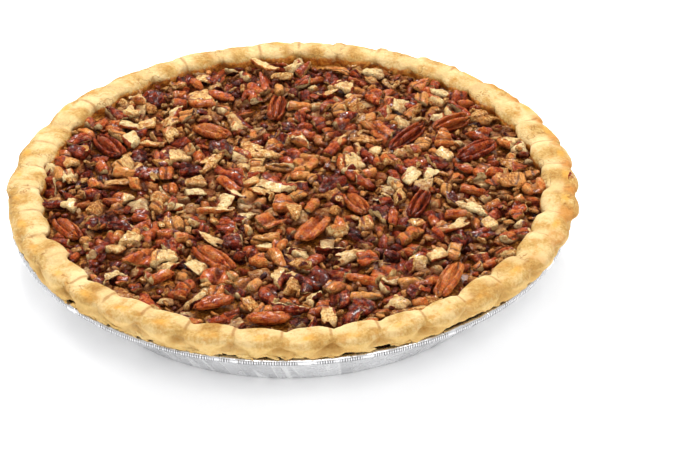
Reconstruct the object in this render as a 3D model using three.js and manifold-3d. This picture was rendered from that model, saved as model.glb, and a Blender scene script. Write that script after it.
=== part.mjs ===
// A whole, uncut pecan pie in its own shallow foil tin.
// Millimetres, +Z up, origin at the middle of the tin's underside; the front of the pie faces -Y.
import * as THREE from 'three';
import { mergeVertices } from 'three/addons/utils/BufferGeometryUtils.js';
import Module from 'manifold-3d';

// ---- Driving dimensions -------------------------------------------------------------------

const GAP = 0.3; // clearance between touching pieces

// Foil tin: a 10 inch shallow pie tin.
const TIN_RADIUS = 127; // to the outside of the rolled rim
const TIN_FLOOR_RADIUS = 99;
const FOIL = 0.5; // thickness of the shell
const BEAD_RADIUS = 1.6; // rolled rim
const BEAD_HEIGHT = 28; // middle of the rolled rim above the table
const FLANGE_INNER_RADIUS = 118.6;
const FLANGE_HEIGHT = 26.2;
const TIN_SEGMENTS = 60;

// Pastry: a shell inside the tin and a fluted rim that lies over the flange.
const FLUTES = 38;
const STEPS_PER_FLUTE = 4;
const FLUTE_TURN = 3.74; // degrees the rim is turned, which brings a pinch almost to the front
const PASTRY_THICKNESS = 4.2;
const PASTRY_TOP = 39.2; // crest of a flute
const PASTRY_RADIUS = 126.7; // outside of a flute
const PINCH = 0.32; // how far the quarter points of a flute are drawn towards its pinches

// Filling.
const CUSTARD_TOP = 31.8;
const CUSTARD_RADIUS = 114.6;
const CUSTARD_SEGMENTS = 48;

// Chopped pecans heaped over the custard.
const HEAP_BASE = CUSTARD_TOP + GAP;
const HEAP_EDGE_TOP = 34.4;
const HEAP_TOP = 36.0;
const HEAP_DOME = 0.9; // rise of the heap at the middle of the pie
const HEAP_RADIUS_FRONT = 111.3;
const HEAP_RADIUS_BACK = 106.0;
const HEAP_LUMP = 1.1; // half the height of the lumps
const HEAP_CALM_RADIUS = 60; // inside this the lumps grow smaller, as the facets do
const LUMP_SHUFFLE = 6.3; // scatters the heights of neighbouring lumps
const HEAP_SEGMENTS = 40;
const HEAP_RINGS = 8;

// ---- Helpers ------------------------------------------------------------------------------

const lerp = THREE.MathUtils.lerp;
const wasm = await Module();
wasm.setup();

// A closed geometry with shared corners, so that its faces join up.
function welded(geometry) {
  geometry.deleteAttribute('normal');
  geometry.deleteAttribute('uv');
  const joined = mergeVertices(geometry, 1e-4);
  return withoutSlivers(joined);
}

// The same geometry without the empty triangles that a lathe leaves on its axis.
function withoutSlivers(geometry) {
  const corners = geometry.index.array;
  const kept = [];
  for (let i = 0; i < corners.length; i += 3) {
    const [a, b, c] = [corners[i], corners[i + 1], corners[i + 2]];
    if (a !== b && b !== c && c !== a) kept.push(a, b, c);
  }
  geometry.setIndex(kept);
  return geometry;
}

// A profile of [radius, height] pairs, from the axis out and back to it, turned about +Z.
function turned(profile, segments) {
  const points = profile.map(([r, z]) => new THREE.Vector2(r, z));
  const geometry = new THREE.LatheGeometry(points, segments);
  geometry.rotateX(Math.PI / 2);
  return welded(geometry);
}

// Moves every corner of a geometry by a function of its place.
function reshape(geometry, move) {
  const place = geometry.attributes.position;
  const v = new THREE.Vector3();
  for (let i = 0; i < place.count; i += 1) {
    v.fromBufferAttribute(place, i);
    move(v);
    place.setXYZ(i, v.x, v.y, v.z);
  }
  return geometry;
}

function solidOf(geometry) {
  const plain = welded(geometry.clone());
  return new wasm.Manifold(new wasm.Mesh({
    numProp: 3,
    vertProperties: Float32Array.from(plain.attributes.position.array),
    triVerts: Uint32Array.from(plain.index.array),
  }));
}

function geometryOf(solid) {
  const mesh = solid.getMesh();
  const geometry = new THREE.BufferGeometry();
  geometry.setAttribute('position', new THREE.BufferAttribute(mesh.vertProperties, 3));
  geometry.setIndex(new THREE.BufferAttribute(mesh.triVerts, 1));
  return geometry;
}

function piece(name, geometry, { color, roughness, metalness = 0 }) {
  geometry.computeVertexNormals();
  const material = new THREE.MeshStandardMaterial({ color, roughness, metalness });
  const mesh = new THREE.Mesh(geometry, material);
  mesh.name = name;
  return mesh;
}

// ---- Finishes -----------------------------------------------------------------------------

const FOIL_FINISH = { color: 0xcfd1d3, roughness: 0.3, metalness: 1 };
const PASTRY_FINISH = { color: 0xe6bf7e, roughness: 0.75 };
const CUSTARD_FINISH = { color: 0x8a4a16, roughness: 0.35 };
const CHOPPED_FINISH = { color: 0x8c4f2e, roughness: 0.45 };
const HALF_FINISH = { color: 0x7e3a20, roughness: 0.4 };

// ---- Foil tin -----------------------------------------------------------------------------

// Thin shell: flat floor, sloping wall, narrow flange and a rolled rim.
function foilTin() {
  const beadMiddle = TIN_RADIUS - BEAD_RADIUS;
  const bead = [];
  for (let degrees = -90; degrees <= 150; degrees += 48) {
    const a = THREE.MathUtils.degToRad(degrees);
    bead.push([
      beadMiddle + BEAD_RADIUS * Math.cos(a),
      BEAD_HEIGHT + BEAD_RADIUS * Math.sin(a),
    ]);
  }
  return turned([
    [0, 0],
    [TIN_FLOOR_RADIUS, 0],
    [TIN_FLOOR_RADIUS + 1.4, 1],
    [FLANGE_INNER_RADIUS, FLANGE_HEIGHT - FOIL],
    ...bead,
    [FLANGE_INNER_RADIUS - 0.2, FLANGE_HEIGHT],
    [TIN_FLOOR_RADIUS + 0.9, 1.3],
    [TIN_FLOOR_RADIUS - 0.3, FOIL],
    [0, FOIL],
  ], TIN_SEGMENTS);
}

// ---- Pastry -------------------------------------------------------------------------------

// The wall of the shell leans out with the tin, from its floor to the filling's edge.
const SHELL_FLOOR_RADIUS = TIN_FLOOR_RADIUS - 1;
const WALL_SLOPE = (FLANGE_INNER_RADIUS - TIN_FLOOR_RADIUS - 1.4) / (FLANGE_HEIGHT - 1.5);
const wallRadius = (z) => TIN_FLOOR_RADIUS + 0.6 + WALL_SLOPE * (z - 1.3);

// Each row is a place on the rim's section at a pinch and at the middle of a flute.
const RIM_ROWS = [
  { pinch: [125.9, 30.4], flute: [126.3, 30.3] }, // lower edge of the skirt
  { pinch: [124.7, 31.9], flute: [126.2, 32.0] }, // recess under a pinch
  { pinch: [125.3, 35.2], flute: [PASTRY_RADIUS, 34.6] },
  { pinch: [123.9, 37.9], flute: [124.6, 37.6] },
  { pinch: [121.6, 38.2], flute: [120.2, PASTRY_TOP] },
  { pinch: [118.4, 36.2], flute: [115.2, 37.6] },
  { pinch: [116.9, 33.8], flute: [113.4, 34.6] }, // inside of the flute, over the filling
];

// The fluted shell: a lathe whose rim rows are then pushed into rounded flutes.
function pastryCrust() {
  const steps = FLUTES * STEPS_PER_FLUTE;
  const shellTop = FLANGE_HEIGHT + GAP;
  const profile = [
    [0, FOIL + GAP],
    [SHELL_FLOOR_RADIUS, FOIL + GAP],
    [wallRadius(shellTop) - 0.9, shellTop + 0.3],
    [TIN_RADIUS - 2 * BEAD_RADIUS - 0.6, 28.9],
    ...RIM_ROWS.map((row) => row.flute),
    [CUSTARD_RADIUS + GAP + 0.4, CUSTARD_TOP - 1.6],
    [wallRadius(PASTRY_THICKNESS + 1) - PASTRY_THICKNESS, FOIL + GAP + PASTRY_THICKNESS],
    [0, FOIL + GAP + PASTRY_THICKNESS],
  ];
  const geometry = turned(profile, steps);
  const pitch = (2 * Math.PI) / FLUTES;
  const fluted = reshape(geometry, (v) => {
    const row = RIM_ROWS.find(({ flute }) => {
      const [r, z] = flute;
      return Math.abs(Math.hypot(v.x, v.y) - r) < 0.01 && Math.abs(v.z - z) < 0.01;
    });
    if (!row) return;
    const angle = Math.atan2(v.y, v.x);
    const turns = angle / pitch;
    const along = turns - Math.floor(turns); // 0 and 1 at pinches, 0.5 in the middle
    const quarter = Math.sin(2 * Math.PI * along); // 1 and -1 at the quarter points
    const drawn = angle - PINCH * quarter * pitch * 0.25;
    const fullness = Math.sqrt(Math.abs(Math.sin(Math.PI * along)));
    const r = lerp(row.pinch[0], row.flute[0], fullness);
    v.set(r * Math.cos(drawn), r * Math.sin(drawn), lerp(row.pinch[1], row.flute[1], fullness));
  });
  return fluted.rotateZ(THREE.MathUtils.degToRad(FLUTE_TURN));
}

// ---- Filling ------------------------------------------------------------------------------

function custardFilling() {
  const floor = FOIL + GAP + PASTRY_THICKNESS + GAP;
  return turned([
    [0, floor],
    [wallRadius(PASTRY_THICKNESS + 1) - PASTRY_THICKNESS - 1, floor],
    [CUSTARD_RADIUS - 0.4, CUSTARD_TOP - 1.8],
    [CUSTARD_RADIUS - 0.2, CUSTARD_TOP],
    [0, CUSTARD_TOP],
  ], CUSTARD_SEGMENTS);
}

// ---- Pecans -------------------------------------------------------------------------------

// How far the heap reaches: almost to the flutes in front, short of them at the back.
function heapRadius(angle) {
  const backness = 0.5 + 0.5 * Math.sin(angle);
  const ragged = 0.8 * Math.sin(7 * angle) + 0.6 * Math.sin(17 * angle + 1);
  return lerp(HEAP_RADIUS_FRONT, HEAP_RADIUS_BACK, backness ** 1.5) + ragged - 1.2;
}

// Uneven top of the chopped nuts at a place: lumps whose height jumps from one to the next.
function heapTop(x, y) {
  const radius = Math.hypot(x, y);
  const jump = 2 * Math.sin(LUMP_SHUFFLE * x) * Math.sin(0.7 * LUMP_SHUFFLE * y + x);
  const lump = THREE.MathUtils.clamp(jump, -1, 1) * Math.min(1, radius / HEAP_CALM_RADIUS);
  return HEAP_TOP + HEAP_DOME * (1 - (radius / HEAP_RADIUS_FRONT) ** 2) + HEAP_LUMP * lump;
}

function choppedPecans(halves) {
  const rings = [];
  for (let i = 1; i < HEAP_RINGS; i += 1) {
    rings.push([HEAP_RADIUS_FRONT * Math.sqrt(1 - (i / HEAP_RINGS) ** 1.3) * 0.99, HEAP_TOP]);
  }
  const geometry = turned([
    [0, HEAP_BASE],
    [HEAP_RADIUS_FRONT, HEAP_BASE],
    [HEAP_RADIUS_FRONT, HEAP_EDGE_TOP],
    ...rings,
    [0, HEAP_TOP],
  ], HEAP_SEGMENTS);
  reshape(geometry, (v) => {
    const scale = heapRadius(Math.atan2(v.y, v.x)) / HEAP_RADIUS_FRONT;
    v.x *= scale;
    v.y *= scale;
    if (v.z > HEAP_EDGE_TOP + 0.01) v.z = heapTop(v.x, v.y);
  });
  let heap = solidOf(geometry);
  for (const half of halves) heap = heap.subtract(solidOf(pecanHalf(half, GAP)));
  return geometryOf(heap);
}

// The largest pieces lying on top: middle, length, width, heading from +X, and how far the
// piece is rolled about its length and pitched along it, in degrees.
const HALVES = [
  { x: 9.5, y: -38, length: 23, width: 10.5, heading: 66, roll: 12, pitch: 6 },
  { x: -33, y: -59.5, length: 24, width: 11, heading: -50, roll: -8, pitch: 2 },
  { x: 68, y: -78, length: 25, width: 10, heading: 70, roll: -20, pitch: 0 },
  { x: -31, y: -95, length: 17, width: 11, heading: 22, roll: -35, pitch: 0 },
  { x: -8, y: -105.5, length: 18, width: 9, heading: 2, roll: -40, pitch: 0 },
  { x: 53, y: 38, length: 25, width: 8, heading: 53, roll: 25, pitch: 0 },
  { x: 74, y: 49, length: 19, width: 8.5, heading: 32, roll: 40, pitch: 0 },
  { x: 85, y: 26, length: 21, width: 10, heading: 36, roll: 5, pitch: 3 },
  { x: -85, y: 33, length: 20, width: 10, heading: -52, roll: 8, pitch: 0 },
  { x: -38, y: 45, length: 19, width: 10, heading: -36, roll: -10, pitch: 4 },
  { x: -8, y: 66, length: 20, width: 8.5, heading: 84, roll: 15, pitch: 0 },
  { x: -98, y: -36, length: 18, width: 9, heading: -54, roll: -12, pitch: 0 },
  { x: 57, y: -18, length: 21, width: 8, heading: 70, roll: 15, pitch: 0 },
  { x: 29, y: -18, length: 18, width: 9, heading: -62, roll: -6, pitch: 2 },
];
const HALF_MIDDLE = 34.8; // height of a half's widest line
const HALF_RISE = 3.7; // from there to the top of its back
const HALF_DROP = 1.7; // and down to its flat side
const GROOVE_DEPTH = 0.26; // of the two grooves along the back, as a share of the rise

// A pecan half: an oval with tapered ends, a domed back with two long grooves, and a flat side.
function halfShape({ length, width, heading, roll, pitch }, extra) {
  const geometry = welded(new THREE.SphereGeometry(1, 12, 6));
  reshape(geometry, (v) => {
    // The sphere's poles are the tips of the nut, so its own Y runs along the nut.
    const taper = 1 - 0.18 * v.y * v.y;
    const across = v.x * taper;
    const groove = Math.abs(v.x) > 0.3 && Math.abs(v.x) < 0.7 ? GROOVE_DEPTH : 0;
    const up = v.z > 0.05 ? v.z * (1 - groove) * HALF_RISE : v.z * HALF_DROP;
    const lift = extra * Math.sign(Math.round(v.z * 10));
    v.set(v.y * (length / 2 + extra), across * (width / 2 + 1.4 * extra), up + 1.3 * lift);
  });
  // The axes were exchanged above, which turned the faces inside out.
  flipFaces(geometry);
  const toRadians = THREE.MathUtils.degToRad;
  const turn = new THREE.Euler(toRadians(roll), -toRadians(pitch), toRadians(heading), 'ZYX');
  return geometry.applyMatrix4(new THREE.Matrix4().makeRotationFromEuler(turn));
}

// The half in its place, bedded in the heap but clear of the custard; extra makes it larger.
function pecanHalf(half, extra = 0) {
  const bare = halfShape(half, 0);
  bare.computeBoundingBox();
  const height = Math.max(HALF_MIDDLE, HEAP_BASE + 2 * GAP - bare.boundingBox.min.z);
  return halfShape(half, extra).translate(half.x, half.y, height);
}

function flipFaces(geometry) {
  const corners = geometry.index.array;
  for (let i = 0; i < corners.length; i += 3) {
    [corners[i], corners[i + 1]] = [corners[i + 1], corners[i]];
  }
}

// ---- The pie ------------------------------------------------------------------------------

const pie = new THREE.Group();
pie.add(piece('foil_tin', foilTin(), FOIL_FINISH));
pie.add(piece('pastry_crust', pastryCrust(), PASTRY_FINISH));
pie.add(piece('custard_filling', custardFilling(), CUSTARD_FINISH));
pie.add(piece('chopped_pecans', choppedPecans(HALVES), CHOPPED_FINISH));
HALVES.forEach((half, i) => {
  const number = String(i + 1).padStart(2, '0');
  pie.add(piece(`pecan_half_${number}`, pecanHalf(half), HALF_FINISH));
});

export default pie;
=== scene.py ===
# %% [markdown]
# # A pecan pie in its foil tin
# The pie is whole and uncut. From the table up it is a shallow foil tin, a pastry shell with a
# fluted rim, a set syrup custard, and a heap of chopped pecans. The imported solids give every
# size. Each is replaced here by the real thing, modelled in metres in the same frame, with the
# front of the pie towards -Y.

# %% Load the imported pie
import math

import bpy
import numpy as np
from mathutils import Matrix, Vector
from mathutils.bvhtree import BVHTree


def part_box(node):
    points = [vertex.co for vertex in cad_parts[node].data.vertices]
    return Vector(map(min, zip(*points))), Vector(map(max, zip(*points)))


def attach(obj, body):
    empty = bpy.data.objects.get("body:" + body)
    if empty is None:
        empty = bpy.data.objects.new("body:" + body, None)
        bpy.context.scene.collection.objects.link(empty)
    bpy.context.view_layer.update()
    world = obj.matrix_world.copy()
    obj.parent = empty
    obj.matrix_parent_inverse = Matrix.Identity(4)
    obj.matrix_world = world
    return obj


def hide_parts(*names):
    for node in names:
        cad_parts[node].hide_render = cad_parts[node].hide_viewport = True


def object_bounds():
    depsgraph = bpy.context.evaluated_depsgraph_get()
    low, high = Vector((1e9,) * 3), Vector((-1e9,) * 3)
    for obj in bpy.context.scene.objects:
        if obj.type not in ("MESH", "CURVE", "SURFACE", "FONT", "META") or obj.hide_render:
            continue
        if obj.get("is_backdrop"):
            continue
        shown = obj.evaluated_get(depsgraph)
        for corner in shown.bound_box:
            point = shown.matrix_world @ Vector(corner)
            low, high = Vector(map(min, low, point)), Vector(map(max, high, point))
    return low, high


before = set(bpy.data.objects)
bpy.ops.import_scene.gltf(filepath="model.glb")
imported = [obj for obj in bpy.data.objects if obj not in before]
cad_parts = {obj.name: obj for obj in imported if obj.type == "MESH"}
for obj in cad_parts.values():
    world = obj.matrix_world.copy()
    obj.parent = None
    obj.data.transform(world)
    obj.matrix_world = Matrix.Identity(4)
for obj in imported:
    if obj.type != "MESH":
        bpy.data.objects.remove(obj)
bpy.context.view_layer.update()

MM = 0.001
TURN = 2 * math.pi

TIN_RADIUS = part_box("foil_tin")[1].x
CUSTARD_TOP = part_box("custard_filling")[1].z
FLUTES = 38
print("tin radius", round(TIN_RADIUS / MM, 1), "custard top", round(CUSTARD_TOP / MM, 1), "mm")

# %% [markdown]
# ## Working by hand
# An operator acts on whatever is selected, so each step starts from nothing selected. These
# helpers select one object, or the points of it that pass a test of their place, and change it.

# %% Selecting


def rest():
    """Leaves edit mode and deselects everything."""
    if bpy.context.object and bpy.context.object.mode != "OBJECT":
        bpy.ops.object.mode_set(mode="OBJECT")
    bpy.ops.object.select_all(action="DESELECT")


def take(*objects):
    """Selects these objects, the first one as the active one."""
    rest()
    for o in objects:
        o.select_set(True)
    bpy.context.view_layer.objects.active = objects[0]
    return objects[0]


def edit(o, test=None):
    """Opens a mesh with all of it selected, or the points whose place passes the test."""
    take(o)
    bpy.ops.object.mode_set(mode="EDIT")
    bpy.ops.mesh.select_mode(type="VERT")
    bpy.ops.mesh.select_all(action="SELECT" if test is None else "DESELECT")
    if test is None:
        return
    bpy.ops.object.mode_set(mode="OBJECT")
    for v in o.data.vertices:
        v.select = bool(test(v.co))
    bpy.ops.object.mode_set(mode="EDIT")


def stretch(o, size, test=None):
    """Scales a mesh, or the points that pass the test, about its origin."""
    edit(o, test)
    bpy.ops.transform.resize(value=size, center_override=(0, 0, 0))


def lift(o, height, test):
    """Lifts the points that pass the test. A height below nothing sinks them."""
    edit(o, test)
    bpy.ops.transform.translate(value=(0, 0, height))


def add(name, primitive, **options):
    """Adds a primitive and names it."""
    rest()
    primitive(**options)
    o = bpy.context.object
    o.name = name
    o.data.name = name
    return o


def finish_with(o, kind, **settings):
    """Adds a modifier, sets it and applies it."""
    take(o)
    modifier = o.modifiers.new(kind.title(), kind)
    for key, value in settings.items():
        setattr(modifier, key, value)
    bpy.ops.object.modifier_apply(modifier=modifier.name)
    return o


def smooth(o):
    """Lets light run smoothly over a whole mesh."""
    take(o)
    bpy.ops.object.shade_smooth()


def copy_of(o, name, matrix=Matrix()):
    """A copy with its own mesh, moved by a matrix."""
    twin = o.copy()
    twin.data = o.data.copy()
    twin.name = name
    bpy.context.scene.collection.objects.link(twin)
    twin.data.transform(matrix)
    return twin


def joined(name, objects):
    """Several objects made one."""
    whole = take(*objects)
    bpy.ops.object.join()
    whole.name = name
    whole.data.name = name
    return whole


def roughen(o, name, size, height):
    """Lifts and sinks a surface in soft lumps of this size and height, in metres."""
    lumps = bpy.data.textures.new(name, "CLOUDS")
    lumps.noise_scale = size
    lumps.noise_depth = 2
    return finish_with(o, "DISPLACE", texture=lumps, strength=height, mid_level=0.5,
                       texture_coords="LOCAL")


def facing(heading=0, pitch=0, roll=0):
    """A turn by three angles in degrees, the roll first and the heading last."""
    return (Matrix.Rotation(math.radians(heading), 4, "Z")
            @ Matrix.Rotation(math.radians(pitch), 4, "Y")
            @ Matrix.Rotation(math.radians(roll), 4, "X"))


def from_middle(p):
    """How far a point lies from the middle of the pie, in millimetres."""
    return math.hypot(p.x, p.y) / MM


# %% [markdown]
# ## Turned pieces
# The tin, the shell and the custard are round. Each starts as one point of its section, extruded
# from point to point into an outline, which is then spun about the middle of the pie. The seam
# is merged and the faces are made to point outwards.

# %% Turning a section


def turned(name, section, steps):
    """A section of (radius, height) points, in millimetres, spun about the middle."""
    o = add(name, bpy.ops.mesh.primitive_plane_add, size=MM)
    edit(o)
    bpy.ops.mesh.merge(type="CENTER")
    here = Vector((section[0][0], 0, section[0][1])) * MM
    bpy.ops.transform.translate(value=here)
    for radius, height in section[1:]:
        there = Vector((radius, 0, height)) * MM
        bpy.ops.mesh.extrude_vertices_move(TRANSFORM_OT_translate={"value": there - here})
        here = there
    bpy.ops.mesh.select_all(action="SELECT")
    bpy.ops.mesh.spin(steps=steps, angle=TURN, center=(0, 0, 0), axis=(0, 0, 1))
    bpy.ops.mesh.select_all(action="SELECT")
    bpy.ops.mesh.remove_doubles(threshold=0.005 * MM)
    bpy.ops.mesh.normals_make_consistent(inside=False)
    rest()
    print(name, len(o.data.polygons), "faces")
    return o


def arc(middle, radius, start, end, points):
    """Points along an arc of a section, with its angles in degrees."""
    angles = [math.radians(start + (end - start) * i / (points - 1)) for i in range(points)]
    return [(middle[0] + radius * math.cos(a), middle[1] + radius * math.sin(a)) for a in angles]


# %% [markdown]
# ## The foil tin
# The tin is pressed from one disc of foil, with a flat floor, a sloping wall, a narrow flange
# and a rim rolled into a bead. The press leaves short dents along the bead, made here by
# shrinking every other stretch of it a little. The whole tin then gets soft dents and creases,
# because reflections on foil are never straight.

# %% Foil tin
FOIL = 0.35  # its thickness in millimetres, more than real foil has, to give it a body
BEAD = 1.6  # radius of the rolled rim
BEAD_HEIGHT = 28.0
FLOOR_RADIUS = 99.0
FLANGE_RADIUS = 118.6
FLANGE_HEIGHT = 26.2
bead_middle = (TIN_RADIUS / MM - BEAD, BEAD_HEIGHT)
DENTS = 300
STEPS_PER_DENT = 2
DENT_SHARE = 0.55  # of each step along the bead
DENT_DEPTH = 0.28

WALL_POINTS = 10
WALL_FOOT = (FLOOR_RADIUS + 1.4, 1.0)
outside_wall = [
    (WALL_FOOT[0] + (FLANGE_RADIUS - FLOOR_RADIUS - 1.4) * i / WALL_POINTS,
     WALL_FOOT[1] + (FLANGE_HEIGHT - FOIL - 1.0) * i / WALL_POINTS)
    for i in range(WALL_POINTS + 1)
]
tin_section = [
    (0, 0.0), (50, 0.0), (80, 0.0), (FLOOR_RADIUS - 3, 0.0), (FLOOR_RADIUS, 0.0),
    (FLOOR_RADIUS + 0.9, 0.3),
    *outside_wall,
    (FLANGE_RADIUS + 1.6, FLANGE_HEIGHT - 0.2),
    *arc(bead_middle, BEAD, -105, 165, 10),
    (FLANGE_RADIUS + 1.4, FLANGE_HEIGHT + 0.2),
    (FLANGE_RADIUS - 0.3, FLANGE_HEIGHT - FOIL),
    (FLOOR_RADIUS + 0.9, 1.2),
    (FLOOR_RADIUS - 0.4, FOIL),
    (0, FOIL),
]
tin = turned("tin", tin_section, DENTS * STEPS_PER_DENT)


def on_a_dent(p):
    """The dented stretches of the bead, with a few left out."""
    along = math.atan2(p.y, p.x) / TURN * DENTS
    ragged = math.sin(along * 2.7) + math.sin(along * 1.13 + 2)
    on_bead = from_middle(p) > bead_middle[0] - 0.4 and p.z / MM > BEAD_HEIGHT - 0.8
    return on_bead and along % 1 < DENT_SHARE and ragged > -0.9


edit(tin, on_a_dent)
bpy.ops.transform.shrink_fatten(value=-DENT_DEPTH * MM)
rest()
roughen(tin, "foil dents", 14 * MM, 0.5 * MM)
roughen(tin, "foil creases", 4 * MM, 0.16 * MM)
take(tin)
bpy.ops.object.shade_smooth_by_angle(angle=math.radians(50))
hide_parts("foil_tin")
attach(tin, "root")

# %% [markdown]
# ## The pastry rim
# The rim of the shell was pinched all round between finger and thumb, which leaves a row of fat
# pillows of dough with a tight crease between each two. A swept band moved by a wave would make
# every pillow the same and the creases round. So two shapes of pillow are modelled, with a
# shallow thumb print, and a round one for raised tips. Copies of them, each a little different,
# lie along a low band of dough, and a voxel remesh then makes one skin of them, as baking does.
# Where two pillows press together, the skin keeps a crease.

# %% Places round the rim
PITCH = TURN / FLUTES
FIRST_PINCH = math.radians(-91)
random = np.random.default_rng(12)
between = random.uniform  # any number between two
about = random.normal  # a number around the first, seldom off by much more than the second


def laid(piece, angle, radius, height, size, **tilt):
    """A copy of a piece of dough at this place on the rim, with its own X along the rim, and
    stretched and tilted there."""
    spot = Matrix.Rotation(angle + TURN / 4, 4, "Z")
    spot = spot @ Matrix.Translation(Vector((0, -radius, height)) * MM)
    return copy_of(piece, "dough", spot @ facing(**tilt) @ Matrix.Diagonal((*size, 1)))


def from_front(angle):
    """Degrees from the front of the pie, towards its right side."""
    return (math.degrees(angle) + 90 + 180) % 360 - 180


def near(side, middle, width):
    """1 at this angle from the front, and falling softly to 0 on both sides of it."""
    return math.exp(-((side - middle) / width) ** 2)


# %% Pillows of dough


def pillow(name, roundness, taper, thumb):
    """A pillow 2 mm long, wide and high, to be stretched to size. It is narrower towards its
    foot, with a thumb print in its top."""
    o = add(name, bpy.ops.mesh.primitive_cube_add, size=2 * MM)
    edit(o)
    bpy.ops.mesh.subdivide(number_cuts=9)
    bpy.ops.transform.tosphere(value=roundness)
    for level in (0.45, 0.15, -0.15, -0.45, -0.75):
        stretch(o, (taper, 1, 1), lambda p: p.z < level * MM)
    for reach in (0.6, 0.45, 0.3):
        lift(o, -thumb * MM,
             lambda p: p.z > 0 and math.hypot(p.x + 0.2 * MM, p.y + 0.1 * MM) < reach * MM)
    rest()
    return o


front_pillow = pillow("front_pillow", 0.88, 0.8, 0.075)
back_pillow = pillow("back_pillow", 0.9, 0.86, 0.03)
round_tip = pillow("round_tip", 1.0, 0.9, 0.04)

# %% A band of dough under them
band = turned("band", [
    (114.4, 29.4), (117.8, 27.3), (121.2, 29.2), (124.0, 30.7), (126.1, 31.1),
    (126.3, 31.7), (125.8, 32.4), (124.8, 33.2), (124.0, 34.0), (122.8, 34.8),
    (121.2, 35.4), (119.2, 35.6), (117.2, 34.9), (115.2, 33.4), (113.8, 32.0), (114.4, 29.4),
], 8 * FLUTES)
# a little drawn in at the left, pushed out at the right, and higher inside at the back
stretch(band, (0.993, 0.993, 1),
        lambda p: from_middle(p) > 124.5 and p.x < -84 * MM and p.y < 24 * MM)
stretch(band, (1.012, 1.012, 1),
        lambda p: from_middle(p) > 121 and p.x > 90 * MM and p.y < 30 * MM)
lift(band, 1.1 * MM,
     lambda p: p.z > 33 * MM and from_middle(p) < 122.5 and (p.y > 30 * MM or p.x < -80 * MM))
edit(band, lambda p: from_middle(p) > 125.0)
bpy.ops.transform.vertex_random(offset=0.7 * MM, seed=4)
rest()

# %% Pillows laid round the rim
SKIRT = 126.0  # how far out the dough reaches, low on the outside, in millimetres
dough = [band]
for i in range(FLUTES):
    angle = FIRST_PINCH + (i + 0.5) * PITCH
    side = from_front(angle)
    right, left = near(side, 78, 42), near(side, -85, 48)
    back = max(0.0, -math.cos(math.radians(side)))
    front = max(0.0, math.cos(math.radians(side))) ** 1.5
    kind = front_pillow if -130 < side < 45 else back_pillow
    width = 5.5 + 1.5 * (1 - front)
    edge = 126.3 - 0.8 * near(side, -62, 24) + 1.7 * near(side, 77, 22)
    angle += math.radians(about(0, 0.35 + 0.8 * left))
    radius = edge - width + about(0, 0.2)
    height = 34.7 - 1.8 * back - 0.7 * left - 0.2 * right + about(0, 0.14 + 0.15 * left)
    size = (11.2 + 2.2 * back + 1.9 * left + 0.4 * right + about(0, 0.25 + 0.5 * left),
            width + about(0, 0.2),
            3.9 + 1.0 * back + 0.6 * left + 0.5 * right + about(0, 0.12))
    dough.append(laid(kind, angle, radius, height, size, roll=about(13 * back, 2.5),
                      pitch=about(-3.5, 1.2 + left),
                      heading=about(2 + 14 * right, 2.5 + 3 * left)))
print(len(dough) - 1, "pillows")

# %% [markdown]
# Pinching pulls the dough up between the fingers. Away from the front of this pie the creases
# end in a small raised tip at the outside, which browns first. Low at the outside the dough
# hangs over the rim of the tin in a thin skirt.

# %% Raised tips and flakes
for i in range(FLUTES):
    angle = FIRST_PINCH + i * PITCH
    side = from_front(angle)
    if abs(side) > 38:
        back = max(0.0, -math.cos(math.radians(side)))
        height = min(1.0, (abs(side) - 30) / 60) * (1 if side > 0 else 0.7)
        angle += math.radians(about(0, 0.6))
        radius = 122.6 + 1.5 * (side > 50) - 2.6 * back
        size = (3.4, 2.6, 2.0 + 0.4 * height)
        dough.append(laid(round_tip, angle, radius, 35.4 + 0.6 * height, size, roll=-24,
                          heading=about(0, 10)))
for i in range(90):
    angle = math.radians(between(-165, -60) if i < 46 else between(-60, 195))
    radius, height = SKIRT + between(-0.6, 0.5), 31.2 + between(-0.9, 0.8)
    size = (between(2.5, 7.0), between(0.8, 1.4), between(0.55, 0.9))
    dough.append(laid(front_pillow, angle, radius, height, size, roll=between(-35, 25),
                      heading=about(0, 6)))
for i in range(9):
    angle = math.radians(between(150, 215))
    radius, height = SKIRT + between(-0.3, 0.3), 33.6 + between(-0.6, 0.8)
    size = (between(7, 13), 0.75, between(1.2, 2.0))
    dough.append(laid(front_pillow, angle, radius, height, size, roll=between(-10, 25),
                      pitch=about(0, 4)))

# %% One skin
crust = joined("pastry_rim", dough)
for o in (front_pillow, back_pillow, round_tip):
    bpy.data.objects.remove(o)
finish_with(crust, "REMESH", mode="VOXEL", voxel_size=0.74 * MM)
finish_with(crust, "SMOOTH", factor=0.5, iterations=3)
roughen(crust, "dough lumps", 7 * MM, 0.9 * MM)
roughen(crust, "dough crumb", 1.8 * MM, 0.28 * MM)
smooth(crust)
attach(crust, "root")
print("rim", len(crust.data.polygons), "faces")

# %% [markdown]
# The loosest flakes hang over the tin, mostly at the front and the left. They are thin and
# ragged, so they stay out of the remesh, which would round them off.

# %% Loose flakes
leaves = []
for i in range(4):
    leaf = add("leaf", bpy.ops.mesh.primitive_cube_add, size=2 * MM)
    edit(leaf)
    bpy.ops.mesh.subdivide(number_cuts=2)
    bpy.ops.transform.tosphere(value=0.35)
    bpy.ops.transform.vertex_random(offset=0.4 * MM, seed=i)
    rest()
    leaves.append(leaf)
loose = []
for i in range(120):
    angle = math.radians(about(-118, 22) if i < 80 else between(-180, 180))
    radius, height = SKIRT + between(-0.5, 0.5), 30.7 + between(-0.5, 0.7)
    size = (between(0.8, 2.8), between(0.3, 0.5), between(0.35, 0.8))
    loose.append(laid(leaves[i % 4], angle, radius, height, size, roll=between(-30, 40),
                      pitch=about(0, 12), heading=about(0, 14)))
loose = joined("pastry_flakes", loose)
for o in leaves:
    bpy.data.objects.remove(o)
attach(loose, "root")
print("loose flakes", len(loose.data.polygons), "faces")

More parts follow.
